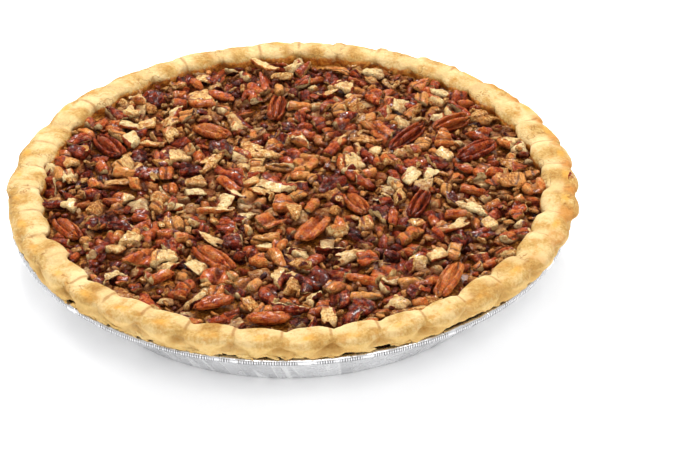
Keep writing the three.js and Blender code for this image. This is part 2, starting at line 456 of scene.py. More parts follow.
# %% [markdown]
# ## The shell under the filling
# The rest of the shell is hidden between the tin and the filling. It is a plain turned wall and
# floor of the same pastry, with few steps.

# %% Shell
shell = turned("pastry_shell", [
    (0, 0.9), (97.8, 0.9), (99.4, 2.0), (116.9, 26.6), (120.0, 28.9), (119.0, 31.0),
    (116.2, 30.0), (98.0, 5.0), (0, 5.0),
], 96)
take(shell)
bpy.ops.object.shade_smooth_by_angle(angle=math.radians(40))
for o in (crust, loose, shell):
    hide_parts("pastry_crust")
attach(shell, "root")

# %% [markdown]
# ## The custard
# The filling is syrup, butter and egg, baked into a glossy amber jelly. It shows as a band
# round the nuts at the back and as wet gaps between them. Its top has many rows, so that soft
# lumps can be pressed into it, and it climbs a little where it meets the pastry.

# %% Custard
top_rows = 64
custard_top = []
for i in range(top_rows + 1):
    radius = 117.0 * (1 - i / top_rows)
    climb = 0.9 * max(0.0, (radius - 112.6) / 3.4) ** 2
    custard_top.append((radius, CUSTARD_TOP / MM - 0.25 + min(climb, 1.3)))
custard = turned("custard", [
    (0, 5.3), (97.6, 5.3), (115.0, 29.4), (117.0, 30.2), *custard_top,
], 260)
roughen(custard, "custard lumps", 9 * MM, 0.9 * MM)
roughen(custard, "custard skin", 2.6 * MM, 0.22 * MM)
smooth(custard)
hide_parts("custard_filling")
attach(custard, "root")

# %% [markdown]
# ## A pecan half
# Half a pecan is a long boat. Its back is rounded, with two deep grooves along it, and its flat
# side has a cleft down the middle. A sphere with its poles at the two ends is stretched to size,
# and its rows of points then follow the nut's length, which suits the grooves. Wrinkles run
# along the nut, so the mesh is squashed lengthwise before they are pressed in and drawn out
# again after. Two halves are made: one with deep grooves, for the halves that stay whole, and a
# shallower one to be chopped.

# %% One pecan half
NUT = Vector((12.2, 6.4, 4.6))  # half its length, width and thickness, in millimetres
GROOVE = 0.44  # where a groove lies, as a share of the way from the middle to the side


def pecan_half(name, depth):
    """A pecan half along X, with its back up and its grooves this deep."""
    o = add(name, bpy.ops.mesh.primitive_uv_sphere_add, segments=36, ring_count=24, radius=MM)
    edit(o)
    bpy.ops.transform.rotate(value=TURN / 4, orient_axis="Y", center_override=(0, 0, 0))
    bpy.ops.transform.resize(value=NUT, center_override=(0, 0, 0))
    for share in (0.6, 0.7, 0.8, 0.9):
        stretch(o, (1, 1.12, 1.08), lambda p: abs(p.x) > share * NUT.x * MM)
    stretch(o, (1, 1, 0.6), lambda p: p.z < -0.01 * MM)

    def groove(reach):
        """A test for the two grooves along the back, which draw together towards the ends."""
        def test(p):
            open_here = math.sqrt(max(1 - (p.x / MM / NUT.x) ** 2, 0))
            off_groove = abs(abs(p.y / MM) - GROOVE * NUT.y * open_here)
            return p.z > 0 and off_groove < reach * open_here
        return test

    def cleft(reach):
        """A test for the cleft along the flat side."""
        return lambda p: p.z < 0 and abs(p.y / MM) < reach and abs(p.x / MM) < 0.85 * NUT.x

    for reach, drop in ((1.5, 0.8), (1.0, 0.8), (0.6, 0.6)):
        lift(o, -drop * depth * MM, groove(reach))
    for reach, rise in ((2.6, 1.2), (1.7, 1.2), (0.9, 0.9)):
        lift(o, rise * math.sqrt(depth) * MM, cleft(reach))
    rest()
    return finish_with(o, "SMOOTH", factor=0.5, iterations=1)


def solid_points(o):
    """Points all over a nut or a crumb: its corners and the middles of its edges and faces."""
    corners = np.array([v.co for v in o.data.vertices])
    edges = np.array([e.vertices for e in o.data.edges])
    middles = np.array([p.center for p in o.data.polygons])
    return np.vstack([corners, corners[edges].mean(axis=1), middles])


def wrinkle(o, name, size, depth):
    """Presses in wrinkles that run along the nut."""
    squash = 0.3
    stretch(o, (squash, 1, 1))
    rest()
    roughen(o, name, size * MM, depth * MM)
    stretch(o, (1 / squash, 1, 1))
    bpy.ops.mesh.normals_make_consistent(inside=False)
    rest()


nut = pecan_half("nut", 0.8)
fine_half = pecan_half("fine_half", 2.1)
half_points = solid_points(fine_half)
finish_with(fine_half, "SUBSURF", levels=1, render_levels=1)
wrinkle(fine_half, "nut wrinkles", 2.4, 1.3)
wrinkle(fine_half, "nut folds", 0.9, 0.4)
print("whole half", len(fine_half.data.polygons), "faces")

# %% [markdown]
# ## Chopping
# Chopping leaves ends, half-width stubs, full-width slices, slivers and small bits. Each is cut
# from the half with bisect, which drops one side and closes the cut. Nuts break more than they
# cut, and syrup rounds what is left, so every chip is remeshed, softened and warped. The remesh
# forgets which faces were skin. So a point counts as skin if it still lies on the surface of the
# half. That is written on the chip, together with where the point was on the nut, so that the
# streaks of the skin follow the chip however it lies.
#
# A remesh comes out a hair different each time. So the heap is laid with points taken from each
# chip as it was cut, and comes out the same.

# %% Cutting a half into chips
nut_surface = BVHTree.FromObject(nut, bpy.context.evaluated_depsgraph_get())
SHRINK = 0.93  # softening leaves a chip a little smaller than it was cut
SPLIT = 0.3  # the share of chips that are also split flat
PAST = 20  # a limit past the end of the nut, in millimetres
shapes = {}  # the points of each chip as it was cut, about its middle


def cut(o, point, normal):
    """Cuts away the side that the normal points to, in millimetres on the nut."""
    edit(o)
    bpy.ops.mesh.bisect(plane_co=Vector(point) * MM, plane_no=normal, use_fill=True,
                        clear_outer=True)
    rest()


def mark(o, skin=None):
    """Writes on each point its place on the nut, and how much of it is skin: the same all over,
    or as much as it lies on the surface of the nut."""
    points = np.array([v.co for v in o.data.vertices], dtype=np.float32)
    spot = o.data.attributes.new("nut_place", "FLOAT_VECTOR", "POINT")
    spot.data.foreach_set("vector", points.ravel() / MM)
    if skin is None:
        depths = np.array([nut_surface.find_nearest(v.co)[3] for v in o.data.vertices])
        skin = np.clip(1.35 - 2.0 * depths / MM, 0, 1)
    values = np.full(len(points), skin, dtype=np.float32)
    o.data.attributes.new("skin", "FLOAT", "POINT").data.foreach_set("value", values)


def cut_points(o):
    """Points all over a chip just cut, from each corner of a face towards the face's middle,
    rounded to a tenth of a millimetre."""
    points = []
    for face in o.data.polygons:
        shares = (0, 0.25, 0.5, 0.75, 1) if len(face.vertices) > 4 else (0, 0.5)
        for corner in face.vertices:
            points += [o.data.vertices[corner].co.lerp(face.center, share) for share in shares]
    return np.unique(np.round(np.array(points) / MM, 1), axis=0) * MM


def chip(name, x_range, y_range, voxel, warp):
    """The part of a half between these limits, each cut a little askew, and some split flat."""
    o = copy_of(nut, name)
    middle = [sum(np.clip(r, -reach, reach)) / 2
              for r, reach in ((x_range, NUT.x), (y_range, NUT.y))]
    for axis, limit, side in ((0, x_range[0], -1), (0, x_range[1], 1),
                              (1, y_range[0], -1), (1, y_range[1], 1)):
        if abs(limit) < (NUT.x, NUT.y)[axis]:
            normal = Vector(about(0, 0.36, 3))
            normal[axis] = side
            point = [*middle, 0.5]
            point[axis] = limit
            cut(o, point, normal.normalized())
    if random.random() < SPLIT:
        side = random.choice([-1, 1])
        normal = Vector((*about(0, 0.25, 2), side))
        cut(o, (*middle, 0.9 + 0.7 * side), normal.normalized())
        o["broken_side"] = int(side)
    points = cut_points(o)
    centre = (points.min(axis=0) + points.max(axis=0)) / 2
    shapes[name] = (points - centre) * SHRINK
    finish_with(o, "REMESH", mode="VOXEL", voxel_size=voxel * MM)
    mark(o)
    finish_with(o, "SMOOTH", factor=0.5, iterations=3)
    roughen(o, name + " warp", 3.2 * MM, 1.3 * warp * MM)
    roughen(o, name + " grain", 1.4 * MM, 0.55 * MM)
    o.data.transform(Matrix.Translation(-Vector(centre)))
    smooth(o)
    return o


def span(length, ends):
    """A stretch of this length along the nut, which keeps one end of it in this share of cases."""
    if random.random() < ends:
        near_end, far_end = (-PAST, -0.92 * NUT.x + length), (0.92 * NUT.x - length, PAST)
        return near_end if random.random() < 0.5 else far_end
    start = between(-0.8 * NUT.x, 0.8 * NUT.x - length)
    return start, start + length


def one_side(limit):
    """One side of the nut, up to a limit past its middle, or all of it if there is none."""
    if limit is None:
        return -PAST, PAST
    return (-PAST, limit) if random.random() < 0.5 else (-limit, PAST)


KINDS = {  # how many, lengths, share that keeps an end, limit past the middle, voxel and warp
    "end": (8, 6.5, 11, 1, 0.2, 0.8, 1.5),
    "stub": (10, 6, 10, 0, 0.2, 0.8, 1.6),
    "slice": (8, 5.5, 9.5, 0.55, None, 0.86, 1.8),
    "sliver": (7, 10, 15, 0.4, -1.6, 0.76, 1.3),
    "bit": (8, 3.8, 5.8, 0.3, -1.0, 0.72, 1.2),
}
forms = {}
for kind, (count, shortest, longest, ends, limit, voxel, warp) in KINDS.items():
    forms[kind + "s"] = made = [
        chip(f"{kind}_{i}", span(between(shortest, longest), ends), one_side(limit), voxel, warp)
        for i in range(count)
    ]
    print(count, "of", kind, "with",
          sum(len(o.data.polygons) for o in made) // count, "faces each")

# %% [markdown]
# Crumbs are too small to show grooves. Each is a small cube, rounded off and made uneven.

# %% Crumbs
crumbs = []
for i in range(10):
    crumb = add(f"crumb_{i}", bpy.ops.mesh.primitive_cube_add, size=2 * MM)
    edit(crumb)
    bpy.ops.mesh.subdivide(number_cuts=2)
    bpy.ops.transform.tosphere(value=0.45)
    length = between(0.9, 1.9)
    bpy.ops.transform.resize(value=(length, between(0.6, 1.1), between(0.45, 0.8)))
    bpy.ops.transform.vertex_random(offset=0.5 * MM, seed=i)
    rest()
    mark(crumb, skin=0.0 if i % 3 else 0.9)
    smooth(crumb)
    crumbs.append(crumb)
    shapes[crumb.name] = solid_points(crumb)
forms["crumbs"] = crumbs
print(len(crumbs), "kinds of crumb,", len(crumbs[0].data.polygons), "faces each")

# %% [markdown]
# ## Heaping the chips
# Two thousand chips and crumbs dropped in a rigid body simulation take long to settle, and roll
# out to the edge. Here the height of the heap is kept on a square grid. A chip tries a few
# places and ways to lie, takes the one where it ends up lowest, and raises the grid there. So
# gaps fill first, as they do when nuts are pressed into a filling. The lowest ones are sunk into
# the custard, which held them while it set.

# %% The height of the heap
CELL = 0.8 * MM
REACH = int(126 * MM / CELL)
HEAP_RADIUS = 114.4
HEAP_LIMIT = CUSTARD_TOP + 8.2 * MM
SUNK = 2.1 * MM  # how deep the lowest chips lie in the custard
SNUG = 0.76  # how snug the chips lie
ground = np.full((2 * REACH + 1, 2 * REACH + 1), CUSTARD_TOP - SUNK)
closed_off = np.zeros(ground.shape, dtype=bool)


def heap_edge(angle):
    """How far out the nuts go, in metres: close to the pastry in front, less far at the back."""
    back = (0.5 + 0.5 * math.sin(angle)) ** 1.5
    ragged = 0.9 * math.sin(7 * angle + 1) + 0.8 * math.sin(17 * angle) + 0.6 * math.sin(29 * angle)
    return (HEAP_RADIUS - 5.0 * back + ragged) * MM


def outline_of(points, snug=1.0):
    """The lowest and highest point of a turned chip over each cell. Uneven chips fit into each
    other, so a snug outline is a little smaller than the chip."""
    cells = np.rint(points[:, :2] * snug / CELL).astype(int)
    reach = np.abs(cells).max()
    low = np.full((2 * reach + 1, 2 * reach + 1), np.inf)
    high = np.full_like(low, -np.inf)
    np.minimum.at(low, (cells[:, 0] + reach, cells[:, 1] + reach), points[:, 2])
    np.maximum.at(high, (cells[:, 0] + reach, cells[:, 1] + reach), points[:, 2])
    return reach, low, high


def around(grid, cell, reach):
    """The part of a grid round a cell."""
    return grid[cell[0] - reach:cell[0] + reach + 1, cell[1] - reach:cell[1] + reach + 1]


def raise_ground(cell, reach, top):
    """Lifts the heap round a cell to the top of what was laid there."""
    window = around(ground, cell, reach)
    np.maximum(window, top, out=window)


# %% [markdown]
# ### Whole halves first
# A few halves lie on top, each at its own place. They go down first, and the cells that they
# cover are closed to the chips.

# %% The halves that stayed whole
HALVES = [  # place, length, width, heading, roll and pitch of each
    (9.5, -38, 23, 11.5, 66, 168, -6), (-33, -59.5, 24, 11, -50, -8, 2),
    (68, -78, 25, 10, 70, -20, 0), (-31, -95, 17, 11, 22, -35, 0),
    (-8, -105.5, 18, 10, 2, 152, 0), (53, 38, 25, 8, 53, 25, 0), (74, 49, 19, 8.5, 32, 40, 0),
    (85, 26, 21, 10, 36, 5, 3), (-85, 33, 20, 10, -52, 8, 0), (-38, 45, 19, 10, -36, -10, 4),
    (-8, 66, 20, 8.5, 84, 15, 0), (-98, -36, 18, 9, -54, -12, 0), (57, -18, 21, 8, 70, 15, 0),
    (29, -18, 18, 9, -62, -6, 2),
]


def shade(o, tint, roast):
    """Writes a nut's own tint, how toasted it is, and a number to tell it from its neighbours."""
    values = np.tile(np.float32([tint, roast, random.random(), 1]), len(o.data.vertices))
    o.data.attributes.new("nut_shade", "FLOAT_COLOR", "POINT").data.foreach_set("color", values)


mark(fine_half, skin=1.0)
whole_halves = []
for number, (x, y, length, width, heading, roll, pitch) in enumerate(HALVES, start=1):
    node = f"pecan_half_{number:02d}"
    size = Matrix.Diagonal((length / 2 / NUT.x, width / 2 / NUT.y, between(0.8, 0.95), 1))
    turn = facing(heading, -pitch, roll) @ size
    half = copy_of(fine_half, node + "_baked", turn)
    cell = [int(round(c * MM / CELL)) + REACH for c in (x, y)]
    reach, _, high = outline_of(half_points @ np.array(turn.to_3x3()).T)
    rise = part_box(node)[1].z - max(v.co.z for v in half.data.vertices)
    around(closed_off, cell, reach)[high + rise > CUSTARD_TOP + 1.6 * MM] = True
    raise_ground(cell, reach, high + rise)
    half.data.transform(Matrix.Translation((x * MM, y * MM, rise)))
    shade(half, between(0.2, 0.65), between(0.1, 0.6))
    smooth(half)
    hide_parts(node)
    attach(half, "root")
    whole_halves.append(half)
print("whole halves", len(whole_halves))

# %% [markdown]
# ### Chips, then crumbs
# Chips of all kinds go down mixed. Crumbs follow half-way, to fill the gaps, and again at the
# end. One chip strayed, and is stuck to the outside of the rim at the right.

# %% Laying the chips
heaps = {form: [] for form in forms}


def lay(form, tries, sink, spread):
    """Lays one chip of this form where it ends up lowest."""
    kind = forms[form][int(random.integers(len(forms[form])))]
    best = None
    for _ in range(tries):
        angle, out = between(0, TURN), math.sqrt(random.random())
        roll = random.choice([0, 0, 180, 90, -90]) + about(0, spread)
        if "broken_side" in kind and random.random() < 0.5:
            roll = 90 - 90 * kind["broken_side"] + about(0, spread)
        turn = (facing(between(0, 360), about(0, spread), roll)
                @ Matrix.Scale(between(0.92, 1.26), 4))
        points = shapes[kind.name] @ np.array(turn.to_3x3()).T
        reach, low, high = outline_of(points, SNUG)
        radius = out * (heap_edge(angle) - 0.5 * reach * CELL)
        cell = [int(round(radius * f(angle) / CELL)) + REACH for f in (math.cos, math.sin)]
        if around(closed_off, cell, reach)[np.isfinite(low)].any():
            continue
        rise = np.max(around(ground, cell, reach) - low)
        top = rise + high.max()
        if best is None or top < best[0]:
            best = (top, rise, reach, high, cell, turn)
    if best is None or best[0] > HEAP_LIMIT:
        return
    _, rise, reach, high, cell, turn = best
    rise -= sink * MM
    raise_ground(cell, reach, high + rise)
    spot = Vector(((cell[0] - REACH) * CELL, (cell[1] - REACH) * CELL, rise))
    piece = copy_of(kind, form, Matrix.Translation(spot) @ turn)
    shade(piece, random.random(), random.random() * (0.3 if form == "crumbs" else 1))
    heaps[form].append(piece)


MIX = ["ends"] * 5 + ["stubs"] * 6 + ["slices"] * 5 + ["slivers"] * 4 + ["bits"] * 5
LAYERS = [  # how many, of what if not of the mix, tries, how far each sinks, and how it tips
    (500, None, 26, 0.3, 18), (420, "crumbs", 12, 0.2, 40),
    (480, None, 16, 1.3, 26), (860, "crumbs", 16, 0.3, 40),
]
for count, form, tries, sink, spread in LAYERS:
    for _ in range(count):
        lay(form or random.choice(MIX), tries, sink, spread)

STRAY = Vector((126.0, -3, 37.9)) * MM
turn = Matrix.Rotation(0.7, 4, "Y") @ Matrix.Rotation(1.5, 4, "Z")
size = Matrix.Diagonal((1.1, 0.9, 0.6, 1))
stray = copy_of(forms["bits"][3], "stray", Matrix.Translation(STRAY) @ turn @ size)
shade(stray, 0.3, 0.3)
heaps["bits"].append(stray)

for form, pieces in heaps.items():
    heap = joined("pecan_" + form, pieces)
    heaps[form] = heap
    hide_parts("chopped_pecans")
    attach(heap, "root")
    print(heap.name, len(pieces), "pieces,", len(heap.data.polygons), "faces")
print("top of the heap", round(float(ground.max()) / MM, 1), "mm")
for o in (nut, fine_half, *sum(forms.values(), [])):
    bpy.data.objects.remove(o)

# %% [markdown]
# ## Finishes
# Each finish is a material made of nodes. Wiring nodes by hand is slow to read, so one small
# class wraps a socket. Sums, products and powers of sockets are written as plain arithmetic and
# add their Math nodes, and any other node comes from its method node().

# %% Shader arithmetic
OBJECT, COLOUR, VECTOR, NUMBER = 3, 0, 1, 2  # outputs of the coordinate and attribute nodes


class Socket:
    """One output of a material's nodes, to reckon with."""

    def __init__(self, tree, output=None):
        self.tree = tree
        self.output = output

    def node(self, kind, settings=None, values=None, out=0):
        """Adds a node with its settings, then the values or links of its sockets."""
        made = self.tree.nodes.new("ShaderNode" + kind)
        for key, value in (settings or {}).items():
            if key == "stops":
                ramp = made.color_ramp
                ramp.elements.remove(ramp.elements[-1])
                ramp.elements[0].position = value[0][0]
                ramp.elements[0].color = (*value[0][1], 1)
                for position, colour in value[1:]:
                    ramp.elements.new(position).color = (*colour, 1)
            else:
                setattr(made, key, value)
        for key, value in (values or {}).items():
            if isinstance(value, Socket):
                self.tree.links.new(value.output, made.inputs[key])
            else:
                made.inputs[key].default_value = value
        return Socket(self.tree, made.outputs[out])

    def math(self, operation, *values):
        return self.node("Math", {"operation": operation}, dict(enumerate(values)))

    def parts(self, kind="SeparateXYZ"):
        """The three numbers that make up a vector or a colour."""
        split = self.node(kind, {}, {0: self}).output.node
        return [Socket(self.tree, part) for part in split.outputs[:3]]

    def __add__(self, other):
        return self.math("ADD", self, other)

    def __sub__(self, other):
        return self.math("SUBTRACT", self, other)

    def __rsub__(self, other):
        return self.math("SUBTRACT", other, self)

    def __mul__(self, other):
        return self.math("MULTIPLY", self, other)

    def __truediv__(self, other):
        return self.math("DIVIDE", self, other)

    def __pow__(self, other):
        return self.math("POWER", self, other)

    def __abs__(self):
        return self.math("ABSOLUTE", self)

    __radd__ = __add__
    __rmul__ = __mul__

    def step(self, low, high):
        """0 below low, 1 above high and a smooth rise between; turned round if high < low."""
        settings = {"interpolation_type": "SMOOTHSTEP"}
        if low < high:
            return self.node("MapRange", settings, {0: self, 1: low, 2: high, 3: 0.0, 4: 1.0})
        return self.node("MapRange", settings, {0: self, 1: high, 2: low, 3: 1.0, 4: 0.0})

    def ramp(self, *stops):
        return self.node("ValToRGB", {"stops": stops}, {0: self})

    def mix(self, below, above, how="MIX"):
        """The colour below, with the colour above laid over it where this socket is 1."""
        def colour(c):
            return c if isinstance(c, Socket) else (*c, 1)
        settings = {"data_type": "RGBA", "blend_type": how}
        return self.node("Mix", settings, {0: self, 6: colour(below), 7: colour(above)}, out=2)

    def noise(self, size, detail=3, stretch=(1, 1, 1), rough=0.5):
        """Soft noise with lumps of this size, in units of this vector socket."""
        scaled = self.node("VectorMath", {"operation": "MULTIPLY"}, {0: self, 1: stretch})
        return self.node("TexNoise", {}, {"Vector": scaled, "Scale": 1 / size,
                                          "Detail": detail, "Roughness": rough})

    def bubbles(self):
        """How far the nearest of many small pits is."""
        return self.node("TexVoronoi", {"feature": "F1"}, {"Vector": self, "Scale": 1 / 0.0022})


def finish(name, objects, constants, build):
    """A material with these constants, and with what build() varies from place to place."""
    material = bpy.data.materials.new(name)
    material.use_nodes = True
    tree = material.node_tree
    tree.nodes.clear()
    here = Socket(tree).node("TexCoord", out=OBJECT)
    look = {**constants, **build(here)}
    for height, distance in look.pop("Bumps", []):
        values = {"Height": height, "Distance": distance}
        if "Normal" in look:
            values["Normal"] = look["Normal"]
        look["Normal"] = here.node("Bump", {}, values)
    shader = here.node("BsdfPrincipled", {}, look)
    output = tree.nodes.new("ShaderNodeOutputMaterial")
    tree.links.new(shader.output, output.inputs["Surface"])
    for o in objects:
        o.data.materials.append(material)


def radius_of(x, y):
    """The distance from the middle of the pie, in millimetres."""
    return (x * x + y * y) ** 0.5 / MM


def srgb(red, green, blue):
    """A colour as a paint chart gives it, turned into light."""
    return tuple(((c / 255 + 0.055) / 1.055) ** 2.4 if c > 10 else c / 255 / 12.92
                 for c in (red, green, blue))


# %% [markdown]
# ### Baked pastry
# Pastry is a pale sandy gold. It browns where it stands up thin, at the outside of the raised
# tips. A painted highlight makes it palest on the tops at the ends of the pillows, and painted
# shade darkens the creases between the pillows and the recesses below them. Where syrup boiled
# against the inner wall it is stained amber. Fine cracks show where it dried.
# All of this follows the place on the rim, so it is worked out from the angle and the radius.

# %% Pastry finish


def pastry_look(here):
    x, y, z = here.parts()
    radius, height = radius_of(x, y), z / MM
    along = (here.math("ARCTAN2", y, x) - FIRST_PINCH) / PITCH
    near_pinch = here.math("PINGPONG", along, 0.5) * 2  # 0 at a pinch, 1 at a pillow's middle
    wander = here.noise(0.004, detail=2)
    crease = (near_pinch + (wander - 0.5) * 0.10).step(0.11, 0.02)
    behind = (y / radius / MM + 1) * 0.5
    patchy = here.noise(0.012, detail=1).step(0.42, 0.6)
    patchy = here.math("MAXIMUM", patchy, behind.step(0.3, 0.12))
    # the creases' painted shade: high on the rim, in patches, and all along the front
    crease_shade = crease * radius.step(124.6, 122.5) * patchy
    # painted shade in the recess under each pinch, low on the outside of the rim
    recess_shade = ((37.6 - height) * 0.15 - near_pinch + (wander - 0.5) * 0.3).step(-0.05, 0.15)
    recess_shade = recess_shade * radius.step(122.6, 123.8) * height.step(31.6, 33.0)
    right = x / radius / MM

    tone = here.noise(0.012)
    sand = here.noise(0.0012, detail=4, rough=0.65)
    base = (tone * 1.1 + sand * 0.6 - 0.27).ramp(
        (0.34, srgb(156, 110, 46)), (0.52, srgb(185, 147, 81)), (0.72, srgb(209, 180, 126)))
    mottled = here.noise(0.0045, detail=4, rough=0.6).step(0.5, 0.68)
    base = (mottled * 0.65).mix(base, srgb(178, 124, 48))
    # painted highlight on the tops at the ends of the pillows, near each pinch
    pale = near_pinch.step(0.75, 0.3) * height.step(36.0, 37.5) * radius.step(123.5, 121.5)
    base = (pale * 0.4).mix(base, srgb(232, 206, 152))
    outside = radius.step(124.4, 125.6) * height.step(36.4, 34.6)
    base = (outside * 0.45).mix(base, srgb(236, 200, 128))
    # browning on the raised tips, at the outside, towards the back and the right
    edge = radius.step(119.5, 124.0) * height.step(34.5, 37.0) * (1 - near_pinch.step(0.25, 0.8))
    browned = edge * (behind * 0.6 + right * 0.3).step(0.15, 0.65)
    browned = browned * here.noise(0.006).step(0.3, 0.6)
    base = (browned * 0.85).mix(base, srgb(186, 118, 42))
    # warm spots where the oven caught the middle of the front pillows
    spot = near_pinch.step(0.4, 1.0) * radius.step(126.2, 124.2) * radius.step(120.8, 122.8)
    spot = spot * here.noise(0.008, detail=2).step(0.34, 0.6)
    base = (spot * 0.8).mix(base, srgb(210, 152, 58))
    # painted shade in the recesses
    base = (recess_shade * 0.35).mix(base, srgb(184, 136, 66))
    # fine cracks where the top dried
    split_line = abs(here.noise(0.006, detail=2) - 0.5).step(0.018, 0.0)
    split_line = split_line * here.noise(0.013, detail=1).step(0.5, 0.6)
    split_line = split_line * height.step(34.0, 35.0) * (y / MM).step(-100, -80)
    base = (split_line * 0.7).mix(base, srgb(150, 96, 38))
    # painted shade in the creases between the pillows, with a browner line along them
    base = (crease_shade * 0.6).mix(base, srgb(146, 94, 36))
    # syrup that boiled against the inner wall
    syrup = (height + (here.noise(0.004, detail=4, rough=0.6) - 0.5) * 5).step(34.3, 33.8)
    syrup = syrup * radius.step(118.4, 116.8)
    boiled = (radius + (here.noise(0.006) - 0.5) * 7).step(114.6, 112.4)
    splash = here.noise(0.0025, detail=4, rough=0.65)
    syrup = here.math("MAXIMUM", syrup, boiled * (height - splash * 4).step(34.4, 33.4))
    caught = splash.ramp(
        (0.3, srgb(104, 48, 6)), (0.5, srgb(184, 100, 16)), (0.68, srgb(222, 158, 66)))
    base = (syrup * 0.92).mix(base, caught)
    # the skirt, baked dry and a little darker on its edge
    skirt = height.step(32.6, 31.2) * here.noise(0.005).step(0.35, 0.65)
    base = (skirt * 0.4).mix(base, srgb(186, 136, 68))
    pores = here.bubbles().step(0.0, 0.35)
    cracks = here.noise(0.003, detail=5, rough=0.7)
    return {
        "Base Color": base,
        "Roughness": 0.82 - syrup * 0.4,
        "Bumps": [(cracks, 0.0010), (sand, 0.0004), (pores, 0.0001), (1 - split_line, 0.0002)],
    }


finish("baked pastry", (crust, loose, shell), {
    "Subsurface Weight": 0.12, "Subsurface Radius": (0.004, 0.002, 0.001),
    "Subsurface Scale": 1.0, "Specular IOR Level": 0.3}, pastry_look)

# %% [markdown]
# ### Custard
# The custard is a dark amber jelly with a shiny skin. It is brighter where it is thin, against
# the pastry, and darker under the heap, which paints the shade in the gaps between the nuts. It
# is also darker in patches where the sugar caught. Small bubbles set in its surface.

# %% Custard finish


def custard_look(here):
    x, y, _ = here.parts()
    radius = radius_of(x, y)
    tone = here.noise(0.007, detail=4, rough=0.6)
    foam = here.noise(0.0011, detail=4, rough=0.7)
    # darker under the heap as painted shade between the nuts, brighter where thin against the pastry
    body = (tone * 0.5 + foam * 0.9 - 0.16 + radius.step(104, 113) * 0.13).ramp(
        (0.34, srgb(44, 14, 2)), (0.5, srgb(104, 50, 10)), (0.62, srgb(162, 94, 28)),
        (0.8, srgb(214, 158, 84)))
    bubbles = here.bubbles().step(0.1, 0.36)
    return {
        "Base Color": body,
        "Roughness": 0.34 + foam.step(0.4, 0.7) * 0.25,
        "Bumps": [(here.noise(0.0035, detail=4), 0.0012), (foam, 0.0006), (bubbles, 0.0003)],
    }


finish("syrup custard", (custard,), {
    "Specular IOR Level": 0.12, "Coat Weight": 0.2, "Coat Roughness": 0.24}, custard_look)

# %% [markdown]
# ### Pecans
# One finish serves all the nuts. The skin runs from dark maroon through red-brown to orange, with
# streaks and dark veins along the nut and faint ribs across it, and syrup leaves most of it
# shiny. Painted shade darkens its grooves and cleft. The broken inside is cream, toasted ochre in
# patches, grainy, and browner where syrup soaked in. Whatever lies low in the heap is darker, as
# painted shade in the deep gaps and as syrup soaked in. The attributes of a chip say which is
# which, and give every chip its own tint.

# %% Pecan finish


def pecan_look(here):
    on_nut = here.node("Attribute", {"attribute_name": "nut_place"}, out=VECTOR)
    skin = here.node("Attribute", {"attribute_name": "skin"}, out=NUMBER)
    shade_here = here.node("Attribute", {"attribute_name": "nut_shade"}, out=COLOUR)
    tint, roast, _ = shade_here.parts("SeparateColor")
    height = here.parts()[2] / MM

    streaks = on_nut.noise(1.0, detail=4, stretch=(0.16, 0.9, 0.9), rough=0.6)
    ribs = on_nut.noise(0.9, detail=2, stretch=(1.1, 0.25, 0.3), rough=0.6)
    patches = here.noise(0.0035)
    tone = tint * 0.68 + streaks * 0.65 + ribs * 0.25 + patches * 0.75 - 0.64
    colour = tone.ramp(
        (0.1, srgb(64, 16, 8)), (0.26, srgb(124, 34, 13)), (0.42, srgb(182, 72, 28)),
        (0.6, srgb(216, 112, 46)), (0.84, srgb(236, 162, 86)))
    veins = on_nut.noise(0.6, detail=2, stretch=(0.1, 1.0, 1.0)).step(0.58, 0.7)
    colour = (veins * 0.4).mix(colour, srgb(44, 8, 4))
    # painted shade in the two grooves along the back and in the cleft in the flat side
    along, across, up = on_nut.parts()
    open_here = here.math("MAXIMUM", 1 - (along / NUT.x) * (along / NUT.x), 0.0) ** 0.5
    off_groove = abs(abs(across) - open_here * GROOVE * NUT.y)
    groove = off_groove.step(0.9, 0.2) * up.step(0.2, 1.0)
    cleft = abs(across).step(1.8, 0.4) * up.step(0.9, -0.6)
    groove = here.math("MAXIMUM", groove, cleft)
    colour = (groove * 0.7).mix(colour, srgb(62, 18, 8))
    # pale speckles on the skin, more on toasted nuts
    pale_speckles = here.noise(0.0016).step(0.54, 0.72) * (roast * 0.6 + 0.1)
    colour = pale_speckles.mix(colour, srgb(222, 160, 104))

    grain = here.noise(0.0010, detail=4, rough=0.7)
    fibres = on_nut.noise(0.9, stretch=(0.3, 1, 1))
    meat = (grain * 0.8 + fibres * 0.7 + roast * 0.4 - 0.42).ramp(
        (0.2, srgb(136, 66, 20)), (0.38, srgb(216, 148, 76)), (0.52, srgb(248, 204, 132)),
        (0.74, srgb(252, 226, 166)))
    soaked = here.noise(0.0028).step(0.48, 0.64)
    meat = (soaked * 0.6).mix(meat, srgb(180, 98, 34))
    broken = (skin + (here.noise(0.0018) - 0.5) * 0.8).step(0.68, 0.5)
    colour = broken.mix(colour, meat)
    # painted shade low in the heap, where the gaps are deep, together with syrup soaked into the low
    # chips
    low_shade_and_soak = height.step(CUSTARD_TOP / MM + 4.8, CUSTARD_TOP / MM + 1.2)
    colour = (low_shade_and_soak * 0.85).mix(colour, srgb(126, 52, 14), "MULTIPLY")
    glaze = here.noise(0.003, detail=2).step(0.44, 0.62)
    return {
        "Base Color": colour,
        "Roughness": 0.42 - glaze * 0.14 + broken * 0.16,
        "Coat Weight": glaze * (1 - broken * 0.4) * (1 - low_shade_and_soak * 0.6) * 0.8,
        "Bumps": [(streaks, 0.0030), (ribs, 0.0012), (grain, 0.0011)],
    }


finish("glazed pecan", (*whole_halves, *heaps.values()), {
    "Coat Roughness": 0.11, "Specular IOR Level": 0.1}, pecan_look)
